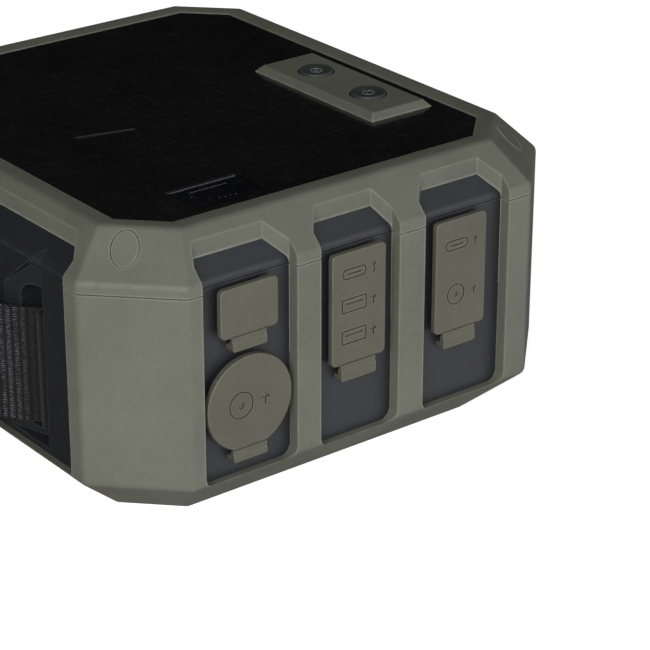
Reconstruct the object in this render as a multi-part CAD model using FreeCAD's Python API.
import FreeCAD, Part
import math
import os
from FreeCAD import Vector as V

# Rugged portable power bank. Millimetres.
# +X right along the port face, the port face is -Y, the carry strap is on -X,
# +Z up. The origin is the centre of the flat base.

os.makedirs("parts", exist_ok=True)

# ---------------------------------------------------------------- dimensions
W, D, H = 180.0, 200.0, 96.0        # outer size of the housing
LEG = 23.5                          # leg of the 45 degree upright corners
Z_LOW, IN_LOW = 16.8, 18.6          # top of the undercut slope, its inset at z=0
Z_BRK, IN_TOP = 82.9, 12.8          # foot of the top slope, its inset at the ridge
Z_PART, GAP = 79.45, 0.30           # parting line and its width
R_EDGE = 3.0                        # rounding of the rubber bumper's edges
SKIN = 4.1                          # depth of the black faces behind the bumper
WALL = 2.8                          # case wall
Z_SILL = 15.4                       # lower edge of the black faces
Z_DECK = 92.0                       # upper face of the lid's deck
IN_PANEL, Z_PANEL = 19.2, 95.3      # top panel: inset of its edge, its face
UP = Z_PANEL - 94.4                 # lift of the parts that stand on the panel

# bays in the front bumper: x at the rib faces, x at the foot of the top wall
FRONT_BAYS = [(-61.5, -27.0, -58.8, -33.0),
              (-18.0, 12.6, -13.4, 8.4),
              (22.8, 57.3, 28.6, 51.6)]
BAY_DEPTH = 9.5
SIDE_BAY, SIDE_DEPTH = (-70.0, 70.0, -63.2, 63.2), 9.7
BAY_KNEE = 4.0                      # depth to which the side walls run straight

# port covers: x centre, width, bottom z, top z, hinge width, foot of the tab
Y_PANEL = -D / 2 + SKIN             # black face behind the covers
Y_FACE, T_COVER = -99.5, 1.8        # cover face and thickness
CHARGE = dict(x=-44.3, w=21.1, z0=62.6, z1=78.6, tab=12.4, foot=57.4)
USB = dict(x=-2.9, w=20.9, z0=41.4, z1=78.6, tab=13.5, foot=35.3)
DC = dict(x=38.1, w=20.6, z0=40.6, z1=78.6, tab=13.0, foot=34.5)
SOCK = dict(x=-44.5, z=39.7, r=15.65, tab=12.4, foot=20.6)
R_BEAD, R_KNUCKLE = 0.7, 1.1        # hinge bead and the groove running on it

# 12 V accessory socket
R_BORE, R_BARREL, L_BARREL = 10.5, 11.5, 38.0

# ports: z of each, all on the x centre of their cover
USB_C = [(USB["x"], 71.5), (DC["x"], 70.0)]
USB_A = [(USB["x"], 61.0), (USB["x"], 50.5)]
DC_JACK = (DC["x"], 53.0)
CHARGE_JACK = (CHARGE["x"], 70.6)

# carry strap: 39 mm webbing
STRAP_Z0, STRAP_Z1, STRAP_T = 21.5, 60.5, 1.9
STRAP_BULGE = -105.0                # centre line at mid span
BAR_X, BAR_Y, BAR_R = -80.6, 46.5, 2.0

# display window and control pod on the top panel
DISP = (-47.0, -77.2, -20.2, -60.2)
POD = (40.4, -51.8, 66.0, 12.0)
POD_H = 2.4
BTN = [(53.2, -34.0), (53.2, -6.0)]
R_BTN, TRAVEL = 6.0, 1.0

# cells: 21700 size, 6 columns by 5 rows
CELL_R, CELL_L, PITCH = 10.6, 70.0, 22.0
CELL_X = [(-2.5 + i) * PITCH for i in range(6)]
CELL_Y = [-26.5 + i * PITCH for i in range(5)]
CELL_Z = 7.0


# ---------------------------------------------------------------- helpers
def leg_at(inset):
    return LEG - (2 - math.sqrt(2)) * inset


def oct_pts(inset, leg, z):
    hx, hy = W / 2 - inset, D / 2 - inset
    p = [(-hx + leg, -hy), (hx - leg, -hy), (hx, -hy + leg), (hx, hy - leg),
         (hx - leg, hy), (-hx + leg, hy), (-hx, hy - leg), (-hx, -hy + leg)]
    return [V(a, b, z) for a, b in p]


def poly_face(pts):
    return Part.Face(Part.makePolygon(list(pts) + [pts[0]]))


def closed(polys):
    """Solid from flat faces given as point lists that all turn the same way."""
    vol = 0.0
    for p in polys:
        for i in range(1, len(p) - 1):
            vol += p[0].dot(p[i].cross(p[i + 1]))
    if vol < 0:
        polys = [list(reversed(p)) for p in polys]
    s = Part.makeSolid(Part.makeShell([poly_face(p) for p in polys]))
    if not s.isValid() or s.Volume <= 0:
        print("bad solid", s.isValid(), s.Volume)
    return s


def stack(*secs):
    """Solid through eight-sided sections (inset, leg, z), flat faces between."""
    return loft([oct_pts(*s) for s in secs])


def loft(rings):
    n = len(rings[0])
    polys = [list(reversed(rings[0])), list(rings[-1])]
    for a, b in zip(rings, rings[1:]):
        for i in range(n):
            j = (i + 1) % n
            polys.append([a[i], a[j], b[j], b[i]])
    return closed(polys)


def box(x0, x1, y0, y1, z0, z1):
    return Part.makeBox(x1 - x0, y1 - y0, z1 - z0, V(x0, y0, z0))


def cyl(r, p, d, h):
    return Part.makeCylinder(r, h, V(*p), V(*d))


def prism(pts, vec):
    return poly_face([V(*p) for p in pts]).extrude(V(*vec))


def hexa(a, b):
    """Solid between two quads a and b, each four points in the same order."""
    return loft([[V(*p) for p in a], [V(*p) for p in b]])


def rrect(x, z, w, h, r, y0, y1):
    """Rounded rectangle in XZ, centre x, z, from y0 to y1."""
    b = box(x - w / 2, x + w / 2, y0, y1, z - h / 2, z + h / 2)
    if r > 0:
        e = [k for k in b.Edges if abs(k.Vertexes[0].Y - k.Vertexes[1].Y) > 1e-6]
        b = b.makeFillet(r, e)
    return b


def soften(s, r, test):
    e = [k for k in s.Edges if test(k)]
    if not e:
        return s
    try:
        f = s.makeFillet(r, e)
        if f.isValid() and f.Volume > 0:
            return f
    except Exception:
        pass
    print("not rounded", r, len(e))
    return s


def at(e, axis, v, tol=1e-4):
    return all(abs(getattr(q, axis) - v) < tol for q in e.Vertexes)


def mirror_x(s):
    return s.mirror(V(0, 0, 0), V(1, 0, 0))


def mirror_y(s):
    return s.mirror(V(0, 0, 0), V(0, 1, 0))


def out(name, shapes):
    if not isinstance(shapes, (list, tuple)):
        shapes = [shapes]
    solids = []
    for s in shapes:
        solids += s.Solids
    for s in solids:
        if not s.isValid():
            print("invalid", name)
    sh = solids[0] if len(solids) == 1 else Part.makeCompound(solids)
    sh.exportStep("parts/%s.step" % name)
    b = sh.BoundBox
    print("%-28s %2d solids  %9.1f mm3  x %.1f..%.1f y %.1f..%.1f z %.1f..%.1f" % (
        name, len(solids), sh.Volume, b.XMin, b.XMax, b.YMin, b.YMax, b.ZMin, b.ZMax))


# ---------------------------------------------------------------- envelopes
outer = stack((IN_LOW, 15.7, 0), (0, LEG, Z_LOW), (0, LEG, Z_BRK), (IN_TOP, 17.3, H))
outer = outer.makeFillet(R_EDGE, [e for e in outer.Edges if not at(e, "Z", 0)])

tray_out = stack((17.8, 15.6, 3.0), (SKIN, leg_at(SKIN), Z_SILL), (SKIN, leg_at(SKIN), Z_PART - GAP / 2))
tray_in = stack((20.6, 14.4, 5.6), (SKIN + WALL, leg_at(SKIN + WALL), 18.0),
                (SKIN + WALL, leg_at(SKIN + WALL), Z_PART + 3))
Z_LID = Z_PART + GAP / 2
Z_LBRK = 81.1
lid_out = stack((SKIN, leg_at(SKIN), Z_LID), (SKIN, leg_at(SKIN), Z_LBRK), (14.2, 16.1, Z_DECK))
lid_out = lid_out.makeFillet(3.2, [e for e in lid_out.Edges if at(e, "Z", Z_LBRK)])
lid_in = stack((SKIN + WALL, leg_at(SKIN + WALL), Z_LID - 1), (SKIN + WALL, leg_at(SKIN + WALL), 80.2),
               (15.4, 15.4, Z_DECK - 2.6))


def bay(side, a0, a1, b0, b1, depth, z0=Z_SILL):
    """Window through the bumper: straight sides to the knee, then drawn in to b at depth."""
    half = {"front": D / 2, "back": D / 2, "left": W / 2, "right": W / 2}[side]

    def pt(uu, n, z):
        return {"front": (uu, -half + n, z), "back": (uu, half - n, z),
                "left": (-half + n, uu, z), "right": (half - n, uu, z)}[side]
    plan = [(a0, -3), (a1, -3), (a1, BAY_KNEE), (b1, depth), (b0, depth), (a0, BAY_KNEE)]
    zm = 50.0
    top = prism([pt(u, n, zm) for u, n in plan], (0, 0, H + 4 - zm))
    low = prism([pt(a0, -3, z0), pt(a1, -3, z0), pt(a1, -3, zm), pt(a0, -3, zm)],
                {"front": (0, depth + 3, 0), "back": (0, -depth - 3, 0), "left": (depth + 3, 0, 0), "right": (-depth - 3, 0, 0)}[side])
    ax = "Y" if side in ("front", "back") else "X"
    edges = [e for e in low.Edges if at(e, "Z", z0) and abs(getattr(e.Vertexes[0], ax) - getattr(e.Vertexes[1], ax)) > 1]
    return low.makeFillet(4.0, edges).fuse(top)


windows = [bay("front", *b, BAY_DEPTH) for b in FRONT_BAYS]
windows += [bay("back", *b, BAY_DEPTH) for b in FRONT_BAYS]
windows += [bay("left", *SIDE_BAY, SIDE_DEPTH), bay("right", *SIDE_BAY, SIDE_DEPTH)]

# corner fixing: plug and screw square to the corner slope
SC_P = V(-74.7, -80.0, 90.65 + 0.39)
SC_N = V(-0.5, -0.5, math.sqrt(0.5))


def corner(r, d0, d1):
    """Cylinder on the fixing axis of the front left corner, by depth."""
    p = SC_P - SC_N * d1
    return Part.makeCylinder(r, d1 - d0, p, SC_N)


def oval(ra, rb, d0, d1):
    """Oval cylinder on the same axis, long way up the slope."""
    c = SC_P - SC_N * d1
    up, across = V(0.5, 0.5, math.sqrt(0.5)), V(math.sqrt(0.5), -math.sqrt(0.5), 0)
    e = Part.Ellipse(c + up * ra, c + across * rb, c).toShape()
    return Part.Face(Part.Wire([e])).extrude(SC_N * (d1 - d0))


def four(s):
    return [s, mirror_x(s), mirror_y(s), mirror_x(mirror_y(s))]


# ---------------------------------------------------------------- bumpers
low_slab = box(-W, W, -D, D, -1, Z_PART - GAP / 2)
lower_bumper = outer.common(low_slab).cut(tray_out)
lower_bumper = lower_bumper.cut(stack((31.8, 11.0, -1), (31.8, 11.0, 4)))
lower_bumper = lower_bumper.cut(windows)
out("lower_bumper", lower_bumper)

up_slab = box(-W, W, -D, D, Z_LID, H + 1)
upper_bumper = outer.common(up_slab).cut(lid_out)
pocket = stack((IN_PANEL, 12.6, Z_DECK - 1), (IN_PANEL, 12.6, Z_PANEL + 0.2), (14.2, 15.6, H + 0.25), (14.2, 15.6, H + 2))
upper_bumper = upper_bumper.cut(pocket).cut(windows)
upper_bumper = upper_bumper.cut(four(oval(6.15, 4.35, -3, 6)))
out("upper_bumper", upper_bumper)

# ---------------------------------------------------------------- lower case
pad = stack((32.0, 10.9, 0), (32.0, 10.9, 3.2))
lower_case = tray_out.fuse(pad).cut(tray_in)
# corner posts for the case screws
post = box(-8, 8, -8, 16, 52, Z_PART - GAP / 2)
post.rotate(V(0, 0, 0), V(0, 0, 1), -45)
post.translate(V(-76.2, -86.2, 0))
post = post.common(tray_in)
# blocks behind the two strap pockets
block = box(-W / 2 + SKIN + 0.5, -73.6, -53.8, -31.0, 8.0, Z_PART - GAP / 2).common(tray_out)
lower_case = lower_case.fuse(four(post) + [block, mirror_y(block)])
lower_case = lower_case.cut(four(corner(1.8, 0, 18.5)))
# seal groove in the rim
groove = stack((4.9, leg_at(4.9), 78.3), (4.9, leg_at(4.9), 81)).cut(
    stack((6.1, leg_at(6.1), 78), (6.1, leg_at(6.1), 82)))
lower_case = lower_case.cut(groove)
# strap pocket: ramp from the deep front edge out to the face, diagonal top edge
ramp = prism([(-95, -51.3, 17.5), (-79.6, -51.3, 17.5), (-79.6, -49.5, 17.5), (-W / 2 + SKIN, -29.0, 17.5), (-95, -29.0, 17.5)], (0, 0, 80))
side = prism([(-96, -51.3, 17.5), (-96, -29.0, 17.5), (-96, -29.0, 65.8), (-96, -51.3, 83.4)], (30, 0, 0))
hi = side.common(box(-100, -60, -70, 0, 76.4, 90))
ramp = ramp.common(side).common(box(-100, -60, -70, 0, 0, 76.5))
# above the seal the pocket is only a shallow relief, so the rim stays whole
relief = hi.cut(box(-W / 2 + SKIN + 0.7, 0, -70, 0, 70, Z_PART))
relief_lid = hi.common(box(-100, -60, -70, 0, Z_PART, 90)).cut(
    stack((SKIN + 0.7, leg_at(SKIN + 0.7), Z_PART - 2), (SKIN + 0.7, leg_at(SKIN + 0.7), Z_LBRK - 0.3), (14.9, 15.7, Z_DECK - 0.3)))
relief = relief.common(box(-100, -60, -70, 0, 70, Z_PART))
slot = box(-95, -75.9, -51.3, -35.4, 19.5, 67.8)
slot = soften(slot, 5.0, lambda e: abs(e.Vertexes[0].X - e.Vertexes[1].X) > 5)
bar_hole = cyl(BAR_R + 0.05, (BAR_X, -BAR_Y, 15.9), (0, 0, 1), 61.2)
for s in (ramp, relief, slot, bar_hole):
    lower_case = lower_case.cut([s, mirror_y(s)])
# port openings in the front wall
Y_IN = Y_PANEL + WALL
REC_CHARGE = rrect(CHARGE["x"], 70.6, 17.0, 12.0, 1.5, Y_PANEL - 1, Y_IN + 1)
REC_USB = rrect(USB["x"], 60.3, 17.0, 32.6, 1.5, Y_PANEL - 1, Y_IN + 1)
REC_DC = rrect(DC["x"], 60.3, 17.0, 32.6, 1.5, Y_PANEL - 1, Y_IN + 1)
REC_SOCK = cyl(14.1, (SOCK["x"], Y_PANEL - 1, SOCK["z"]), (0, 1, 0), WALL + 2)
cuts = [REC_CHARGE, REC_USB, REC_DC, REC_SOCK]
for c in (CHARGE, USB, DC):
    # finger relief over the top edge of each cover
    cuts.append(box(c["x"] - 7, c["x"] + 7, Y_PANEL - 1, Y_PANEL + 0.9, c["z1"] - 1.9, c["z1"] + 0.25))
for c in (CHARGE, USB, DC, SOCK):
    # slot that the foot of the hinge tab snaps into
    cuts.append(box(c["x"] - 4.2, c["x"] + 4.2, Y_PANEL - 1, Y_IN + 1, c["foot"] + 0.35, c["foot"] + 1.75))
lower_case = lower_case.cut(cuts)
out("lower_case", lower_case)

# ---------------------------------------------------------------- upper case
upper_case = lid_out.cut(lid_in)
boss = corner(6.2, 3.4, 16).common(lid_in).common(box(-W, W, -D, D, Z_LID, H))
deck_posts = [cyl(2.5, (x, y, 81.85), (0, 0, 1), 9.0) for x, y in ((-54, -28), (-54, 66), (54, 66), (20, -28))]
deck_posts += [cyl(2.2, (x, y, 86.25), (0, 0, 1), 4.0) for x, y in ((45.5, -44), (61, -44), (45.5, 3.5), (61, 3.5))]
upper_case = upper_case.fuse(four(boss) + deck_posts)
upper_case = upper_case.cut(four(corner(1.85, 0, 26)) + four(oval(6.4, 4.6, -1, 3.0)) + four(corner(3.7, 0, 4.6)))
upper_case = upper_case.cut([relief_lid, mirror_y(relief_lid)])
upper_case = upper_case.cut([cyl(2.3, (x, y, 85), (0, 0, 1), 10) for x, y in BTN])
upper_case = upper_case.cut(box(DISP[0] - 0.3, DISP[2] + 0.3, DISP[1] - 0.3, DISP[3] + 0.3, 86, 95))
out("upper_case", upper_case)

seal = stack((4.95, leg_at(4.95), 78.3), (4.95, leg_at(4.95), Z_LID)).cut(
    stack((6.05, leg_at(6.05), 78), (6.05, leg_at(6.05), 82)))
out("case_seal", seal)

head = corner(3.5, 2.65, 4.55).fuse(corner(1.75, 4.5, 17.5))
head = head.cut(Part.makeCylinder(1.2, 1.6, SC_P - SC_N * 3.9, SC_N))
out("corner_screws", four(head))
plug = oval(6.0, 4.2, 0.0, 2.55)
plug = soften(plug, 0.35, lambda e: len(e.Vertexes) == 1 and (e.CenterOfMass - SC_P).Length < 0.5)
out("corner_screw_plugs", four(plug))

# ---------------------------------------------------------------- top
panel = stack((IN_PANEL + 0.15, 12.5, Z_DECK), (IN_PANEL + 0.15, 12.5, Z_PANEL))
panel = soften(panel, 0.4, lambda e: at(e, "Z", Z_PANEL))
panel = panel.cut(box(DISP[0], DISP[2], DISP[1], DISP[3], 91, 97))
panel = panel.cut([cyl(7.5, (x, y, 91), (0, 0, 1), 6) for x, y in BTN])
out("top_panel", panel)

win = box(DISP[0] + 0.12, DISP[2] - 0.12, DISP[1] + 0.12, DISP[3] - 0.12, 92.6 + UP, 94.0 + UP)
win = soften(win, 0.3, lambda e: at(e, "Z", 94.0 + UP))
out("display_window", win)
out("display_module", box(DISP[0] + 0.4, DISP[2] - 0.4, DISP[1] + 0.4, DISP[3] - 0.4, 88.6, 92.5 + UP))

px0, py0, px1, py1 = POD
pod = hexa([(px0, py0, Z_PANEL), (px1, py0, Z_PANEL), (px1, py1, Z_PANEL), (px0, py1, Z_PANEL)],
           [(px0 + 2.2, py0 + 2.2, Z_PANEL + POD_H), (px1 - 2.2, py0 + 2.2, Z_PANEL + POD_H),
            (px1 - 2.2, py1 - 2.2, Z_PANEL + POD_H), (px0 + 2.2, py1 - 2.2, Z_PANEL + POD_H)])
pod = soften(pod, 0.8, lambda e: not at(e, "Z", Z_PANEL))
pod = pod.cut([cyl(R_BTN + 0.35, (x, y, Z_PANEL - 1), (0, 0, 1), 6) for x, y in BTN])
out("control_pod", pod)


def button(x, y):
    top = Z_PANEL + 3.1
    cap = cyl(R_BTN, (x, y, top - 3.3), (0, 0, 1), 3.3)
    cap = soften(cap, 0.7, lambda e: at(e, "Z", top))
    # finger dish in the cap
    cap = cap.cut(Part.makeSphere(26.0, V(x, y, top + 25.45)))
    b = cap.fuse([cyl(7.1, (x, y, top - 4.3), (0, 0, 1), 1.05), cyl(1.6, (x, y, 89.3), (0, 0, 1), 4.2 + UP)])
    return b


out("power_button", button(*BTN[0]))
out("output_button", button(*BTN[1]))
out("button_board", box(43.0, 63.5, -46.5, 6.0, 84.6, 86.2))
out("button_switches", [box(x - 3, x + 3, y - 3, y + 3, 86.2, 87.6).fuse(cyl(1.5, (x, y, 87.6), (0, 0, 1), 0.5))
                        for x, y in BTN])


# ---------------------------------------------------------------- covers
def icon_cut(kind, x, z, s=1.0):
    """Engraved sign, 0.35 deep, in the cover's face."""
    y0, y1 = Y_FACE - 1, Y_FACE + 0.35
    t = 0.5

    def ring(w, h, r):
        return rrect(x, z, w, h, r, y0, y1).cut(rrect(x, z, w - 2 * t, h - 2 * t, max(r - t, 0.05), y0 - 1, y1 + 1))
    if kind == "c":
        return [ring(9.4 * s, 3.6 * s, 1.75 * s), box(x - 2.6 * s, x + 2.6 * s, y0, y1, z - 0.3, z + 0.3)]
    if kind == "a":
        return [ring(9.8 * s, 4.8 * s, 0.5), box(x - 3.4 * s, x + 3.4 * s, y0, y1, z + 0.2, z + 1.2 * s)]
    if kind == "dc":
        c = cyl(3.6 * s, (x, y0, z), (0, 1, 0), y1 - y0).cut(cyl(3.6 * s - t, (x, y0 - 1, z), (0, 1, 0), 4))
        return [c, cyl(1.0 * s, (x, y0, z), (0, 1, 0), y1 - y0)]
    return []


def arrow(x, z, up, s=1.0):
    """Engraved arrow head with a stem, pointing up (out) or down (in)."""
    k = 1 if up else -1
    y0, y1 = Y_FACE - 1, Y_FACE + 0.35
    tri = prism([(x - 1.3 * s, y0, z), (x + 1.3 * s, y0, z), (x, y0, z + k * 1.6 * s)], (0, y1 - y0, 0))
    return [tri, box(x - 0.3, x + 0.3, y0, y1, min(z, z - k * 1.7 * s), max(z, z - k * 1.7 * s))]


def hinge_pieces(c, z_edge):
    """Fixed tab with its bead, the groove tool for the cover, and the axis."""
    ya, za = Y_FACE + T_COVER / 2, z_edge - 0.9
    x0, x1 = c["x"] - c["tab"] / 2, c["x"] + c["tab"] / 2
    h = T_COVER / 2
    zt = c["foot"]
    prof = [(x0, ya - 0.28, za - 0.3), (x0, ya - h, za - 1.6), (x0, ya - h, zt + 0.5), (x0, ya - h + 0.5, zt),
            (x0, Y_PANEL, zt), (x0, Y_PANEL, zt + 2.1), (x0, ya + h, zt + 2.1), (x0, ya + h, za - 1.1), (x0, ya + 0.28, za - 0.3)]
    tab = prism(prof, (x1 - x0, 0, 0)).fuse(cyl(R_BEAD, (x0, ya, za), (1, 0, 0), x1 - x0))
    tab = soften(tab, 1.2, lambda e: abs(e.Vertexes[0].Y - e.Vertexes[-1].Y) > 1 and at(e, "Z", zt))
    barb = box(c["x"] - 4.0, c["x"] + 4.0, Y_PANEL - 0.2, Y_IN, zt + 0.45, zt + 1.65)
    tab = tab.fuse(barb)
    groove_tool = cyl(R_KNUCKLE, (x0 - 0.6, ya, za), (1, 0, 0), x1 - x0 + 1.2)
    bevel = prism([(x0 - 0.6, ya - h - 1, za - 1), (x0 - 0.6, ya - 0.2, za - 1), (x0 - 0.6, ya - 0.45, za + 0.8), (x0 - 0.6, ya - h, za + 1.6), (x0 - 0.6, ya - h - 1, za + 1.6 + 1.8)],
                  (x1 - x0 + 1.2, 0, 0))
    return tab, [groove_tool, bevel], (ya, za)


def rect_cover(c, rec_h, rec_z, marks):
    z0, z1 = c["z0"], c["z1"]
    plate = rrect(c["x"], (z0 + z1) / 2, c["w"], z1 - z0, 1.7, Y_FACE, Y_FACE + T_COVER)
    plate = soften(plate, 0.4, lambda e: at(e, "Y", Y_FACE))
    tab, tools, ax = hinge_pieces(c, z0)
    # skirt that seals in the recess of the case
    sz0, sz1 = rec_z - rec_h / 2 + 0.8, rec_z + rec_h / 2 - 0.9
    sk = rrect(c["x"], (sz0 + sz1) / 2, 15.9, sz1 - sz0, 1.2, Y_FACE + T_COVER - 0.1, Y_PANEL + 1.1)
    sk = sk.cut(rrect(c["x"], (sz0 + sz1) / 2, 12.3, sz1 - sz0 - 3.6, 0.6, Y_FACE + T_COVER, Y_PANEL + 3))
    plate = plate.fuse(sk).cut(tools)
    for m in marks:
        plate = plate.cut(m)
    return plate, tab, ax


axes = {}
cov, tab, axes["charge_port_cover"] = rect_cover(CHARGE, 12.0, 70.6, [])
out("charge_port_cover", cov)
out("charge_cover_hinge_tab", tab)
ux = USB["x"]
cov, tab, axes["usb_port_cover"] = rect_cover(USB, 32.6, 60.3, [
    icon_cut("c", ux - 2.0, 71.5), arrow(ux + 5.6, 72.3, True, 0.8), arrow(ux + 5.6, 70.6, False, 0.8),
    icon_cut("a", ux - 2.0, 61.0), arrow(ux + 5.6, 61.0, True),
    icon_cut("a", ux - 2.0, 50.5), arrow(ux + 5.6, 50.5, True)])
out("usb_port_cover", cov)
out("usb_cover_hinge_tab", tab)
dx = DC["x"]
cov, tab, axes["dc_port_cover"] = rect_cover(DC, 32.6, 60.3, [
    icon_cut("c", dx - 2.0, 70.0), arrow(dx + 5.6, 70.0, True),
    icon_cut("dc", dx - 2.0, 53.0), arrow(dx + 5.6, 53.0, True)])
out("dc_port_cover", cov)
out("dc_cover_hinge_tab", tab)

# round cover of the accessory socket, cut straight across at its hinge
sx, sz, sr = SOCK["x"], SOCK["z"], SOCK["r"]
SOCK_EDGE = 25.1
disc = cyl(sr, (sx, Y_FACE, sz), (0, 1, 0), T_COVER)
disc = soften(disc, 0.4, lambda e: at(e, "Y", Y_FACE))
disc = disc.cut(box(sx - 6.9, sx + 6.9, Y_FACE - 1, Y_FACE + 5, sz - sr - 1, SOCK_EDGE))
tab, tools, axes["socket_cover"] = hinge_pieces(SOCK, SOCK_EDGE)
ringk = cyl(13.2, (sx, Y_FACE + T_COVER - 0.1, sz), (0, 1, 0), Y_PANEL - 0.06 - (Y_FACE + T_COVER - 0.1)).cut(
    cyl(11.4, (sx, Y_FACE + T_COVER, sz), (0, 1, 0), 10))
disc = disc.fuse(ringk).cut(tools)
mark = icon_cut("dc", sx - 3.4, sz, 1.25) + arrow(sx + 5.6, sz, True, 1.3)
disc = disc.cut(mark)
out("accessory_socket_cover", disc)
out("socket_cover_hinge_tab", tab)

# ---------------------------------------------------------------- 12 V socket
yb = Y_PANEL
flange = cyl(14.0, (sx, yb, sz), (0, 1, 0), WALL)
flange = soften(flange, 0.5, lambda e: at(e, "Y", yb))
tube = cyl(12.9, (sx, yb, sz), (0, 1, 0), L_BARREL + 3.0)
housing = flange.fuse(tube).cut(cyl(R_BARREL, (sx, yb - 1, sz), (0, 1, 0), L_BARREL + 8.0))
out("accessory_socket_housing", housing)
barrel = cyl(R_BARREL - 0.05, (sx, yb, sz), (0, 1, 0), L_BARREL).cut(cyl(R_BORE, (sx, yb - 1, sz), (0, 1, 0), 60))
out("accessory_socket_barrel", barrel)
insulator = cyl(R_BARREL - 0.05, (sx, yb + L_BARREL + 0.05, sz), (0, 1, 0), 2.9).cut(cyl(2.25, (sx, yb, sz), (0, 1, 0), 60))
out("accessory_socket_insulator", insulator)
contact = cyl(2.2, (sx, yb + L_BARREL + 0.1, sz), (0, 1, 0), 11.0).fuse(
    cyl(4.6, (sx, yb + L_BARREL + 3.02, sz), (0, 1, 0), 0.6))
out("accessory_socket_contact", contact)
nut = cyl(16.0, (sx, Y_IN, sz), (0, 1, 0), 4.0).cut(cyl(12.95, (sx, Y_IN - 1, sz), (0, 1, 0), 8))
for i in range(8):
    a = i * math.pi / 4
    nut = nut.cut(cyl(1.6, (sx + 16 * math.cos(a), Y_IN - 1, sz + 16 * math.sin(a)), (0, 1, 0), 8))
out("accessory_socket_nut", nut)


# ---------------------------------------------------------------- ports
def stadium(x, z, w, h, y0, y1):
    return rrect(x, z, w, h, h / 2 - 0.01, y0, y1)


YB0, YB1 = Y_IN, Y_IN + 1.8


def bezel(x, z, w, h, holes):
    b = rrect(x, z, w, h, 1.5, YB0, YB1)
    return b.cut(holes)


def c_hole(p, g=0.0):
    return stadium(p[0], p[1], 8.94 + g, 3.26 + g, YB0 - 1, YB1 + 1)


def a_hole(p, g=0.0):
    return rrect(p[0], p[1], 13.1 + g, 5.7 + g, 0.4, YB0 - 1, YB1 + 1)


def j_hole(p, g=0.0):
    return cyl(4.0 + g, (p[0], YB0 - 1, p[1]), (0, 1, 0), 5)


out("charge_port_bezel", bezel(CHARGE["x"], 70.4, 21.0, 15.2, [j_hole(CHARGE_JACK, 0.05)]))
out("usb_port_bezel", bezel(USB["x"], 60.2, 21.0, 35.6, [c_hole(USB_C[0], 0.1), a_hole(USB_A[0], 0.1), a_hole(USB_A[1], 0.1)]))
out("dc_port_bezel", bezel(DC["x"], 60.2, 21.0, 35.6, [c_hole(USB_C[1], 0.1), j_hole(DC_JACK, 0.05)]))

YP1 = Y_IN + 11.0
shells, tongues = [], []
for p in USB_C:
    s = stadium(p[0], p[1], 8.94, 3.26, YB0, YP1 - 2).cut(stadium(p[0], p[1], 8.34, 2.6, YB0 - 1, YP1 - 3))
    shells.append(s)
    tongues.append(box(p[0] - 3.35, p[0] + 3.35, YB0 + 0.9, YP1 - 3, p[1] - 0.35, p[1] + 0.35))
out("usb_c_shells", shells)
out("usb_c_tongues", tongues)
shells, tongues = [], []
for p in USB_A:
    s = rrect(p[0], p[1], 13.1, 5.7, 0.4, YB0, YP1).cut(rrect(p[0], p[1], 12.5, 5.1, 0.3, YB0 - 1, YP1 - 1))
    shells.append(s)
    tongues.append(box(p[0] - 5.55, p[0] + 5.55, YB0 + 0.8, YP1 - 1, p[1] + 0.2, p[1] + 2.04))
out("usb_a_shells", shells)
out("usb_a_tongues", tongues)


def jack(p, depth):
    b = cyl(4.0, (p[0], YB0, p[1]), (0, 1, 0), 3.0).fuse(box(p[0] - 5.5, p[0] + 5.5, YB1, YB0 + depth, p[1] - 5.0, p[1] + 5.0))
    return b.cut(cyl(2.85, (p[0], YB0 - 1, p[1]), (0, 1, 0), depth))


out("dc_jack", jack(DC_JACK, 11.0))
out("charge_jack", jack(CHARGE_JACK, 11.0))
out("jack_pins", [cyl(1.05, (p[0], YB0 + 1.2, p[1]), (0, 1, 0), 8.78) for p in (DC_JACK, CHARGE_JACK)])

# boards behind the ports
out("usb_board", box(USB["x"] - 10.5, USB["x"] + 10.5, YP1, YP1 + 1.6, 36.0, 78.0))
out("dc_board", box(DC["x"] - 10.5, DC["x"] + 10.5, YP1, YP1 + 1.6, 36.0, 78.0))
out("charge_board", box(CHARGE["x"] - 10.5, CHARGE["x"] + 10.5, YP1, YP1 + 1.6, 60.0, 78.0))

# ---------------------------------------------------------------- battery pack
cells = []
for x in CELL_X:
    for y in CELL_Y:
        cells.append(cyl(CELL_R, (x, y, CELL_Z), (0, 0, 1), CELL_L))
out("battery_cells", cells)
hx0, hx1 = CELL_X[0] - 12.0, CELL_X[-1] + 12.0
hy0, hy1 = CELL_Y[0] - 12.0, CELL_Y[-1] + 12.0


def holder(z0, z1, floor):
    h = box(hx0, hx1, hy0, hy1, z0, z1)
    h = soften(h, 11.9, lambda e: abs(e.Vertexes[0].Z - e.Vertexes[1].Z) > 1)
    c = [cyl(CELL_R + 0.1, (x, y, z0 + floor), (0, 0, 1), 30) for x in CELL_X for y in CELL_Y]
    c += [cyl(7.5, (x, y, z0 - 1), (0, 0, 1), 30) for x in CELL_X for y in CELL_Y]
    return h.cut(c)


out("cell_holder_lower", holder(5.8, 14.0, 1.2))
out("cell_holder_upper", holder(69.0, 76.6, -1.0))
strips = [box(x - 4.0, x + 4.0, hy0 + 5, hy1 - 5, 77.0, 77.3) for x in CELL_X]
out("cell_busbars", strips)

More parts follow.
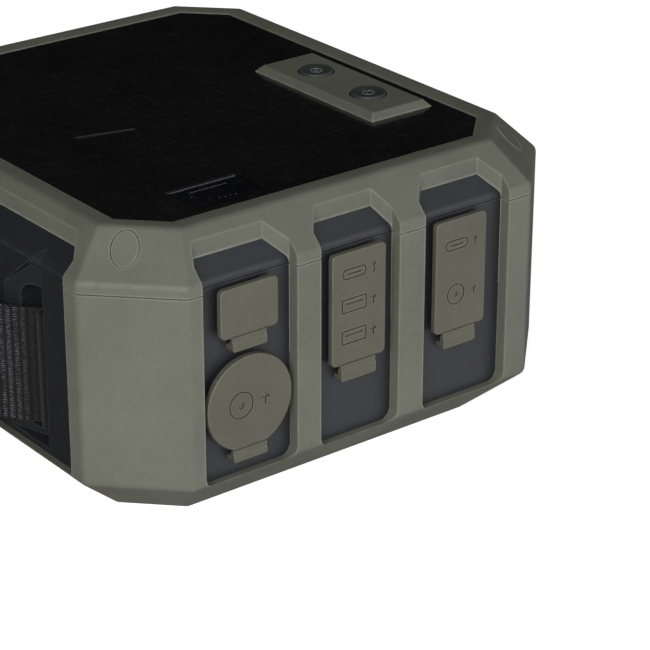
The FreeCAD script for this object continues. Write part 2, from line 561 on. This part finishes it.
# ---------------------------------------------------------------- electronics
board = box(-60.0, 60.0, -34.0, 72.0, 80.2, 81.8)
out("main_board", board)
comps = []
for i in range(3):
    b = box(-50 + i * 18, -37 + i * 18, 44, 57, 81.8, 87.6)
    comps.append(soften(b, 1.5, lambda e: abs(e.Vertexes[0].Z - e.Vertexes[1].Z) > 1))
for i in range(4):
    comps.append(cyl(3.2, (18 + i * 9, 40, 85.0), (0, 1, 0), 16.0))
comps.append(box(-48, -38, 12, 22, 81.8, 83.2))
comps.append(box(-20, -10, -20, -10, 81.8, 83.2))
comps.append(box(0, 7, 4, 11, 81.8, 83.0))
out("board_components", comps)
sink = box(-30, 30, 14, 38, 81.8, 83.4)
fins = [box(-30 + i * 5.2, -28.6 + i * 5.2, 14, 38, 83.4, 87.8) for i in range(12)]
out("heat_sink", sink.fuse(fins))
out("battery_management_board", box(70.0, 71.6, -24.0, 62.0, 16.0, 66.0))

# ---------------------------------------------------------------- strap
def hermite(p0, t0, p1, t1, n):
    q = []
    for i in range(n + 1):
        t = i / n
        a, b, c, d = 2 * t**3 - 3 * t**2 + 1, t**3 - 2 * t**2 + t, -2 * t**3 + 3 * t**2, t**3 - t**2
        q.append((a * p0[0] + b * t0[0] + c * p1[0] + d * t1[0], a * p0[1] + b * t0[1] + c * p1[1] + d * t1[1]))
    return q


rm = 3.2                            # middle of the webbing round the bar
ang = math.radians(48)
t_dir = (-math.sin(ang), math.cos(ang))
start = (BAR_X + rm * math.cos(ang), -BAR_Y + rm * math.sin(ang))
start = (start[0] - t_dir[0] * 1.0, start[1] - t_dir[1] * 1.0)
half = hermite(start, (t_dir[0] * 42, t_dir[1] * 42), (STRAP_BULGE, 0.0), (0.0, 38.0), 14)
line = half + [(x, -y) for x, y in reversed(half[:-1])]
left, right = [], []
for i, p in enumerate(line):
    a = line[max(i - 1, 0)]
    b = line[min(i + 1, len(line) - 1)]
    tx, ty = b[0] - a[0], b[1] - a[1]
    m = math.hypot(tx, ty)
    nx, ny = -ty / m, tx / m
    left.append(V(p[0] + nx * STRAP_T / 2, p[1] + ny * STRAP_T / 2, STRAP_Z0))
    right.append(V(p[0] - nx * STRAP_T / 2, p[1] - ny * STRAP_T / 2, STRAP_Z0))
run = poly_face(left + right[::-1]).extrude(V(0, 0, STRAP_Z1 - STRAP_Z0))


def gon(r, z0, z1, n=28):
    """Many-sided column on the bar's axis."""
    p = [V(BAR_X + r * math.cos(2 * math.pi * (i + 0.37) / n), -BAR_Y + r * math.sin(2 * math.pi * (i + 0.37) / n), z0)
         for i in range(n)]
    return poly_face(p).extrude(V(0, 0, z1 - z0))


loop = gon(rm + STRAP_T / 2 + 0.15, STRAP_Z0, STRAP_Z1)
hole = gon(BAR_R + 0.15, STRAP_Z0 - 1, STRAP_Z1 + 1)
strap = run.fuse([loop, mirror_y(loop)]).cut([hole, mirror_y(hole)])
out("carry_strap", strap)
bar = cyl(BAR_R, (BAR_X, -BAR_Y, 16.0), (0, 0, 1), 61.0)
out("strap_bars", [bar, mirror_y(bar)])

for k, v in axes.items():
    print("axis", k, "y %.3f z %.3f" % v)
print("strap half points", [(round(x, 1), round(y, 1)) for x, y in half])
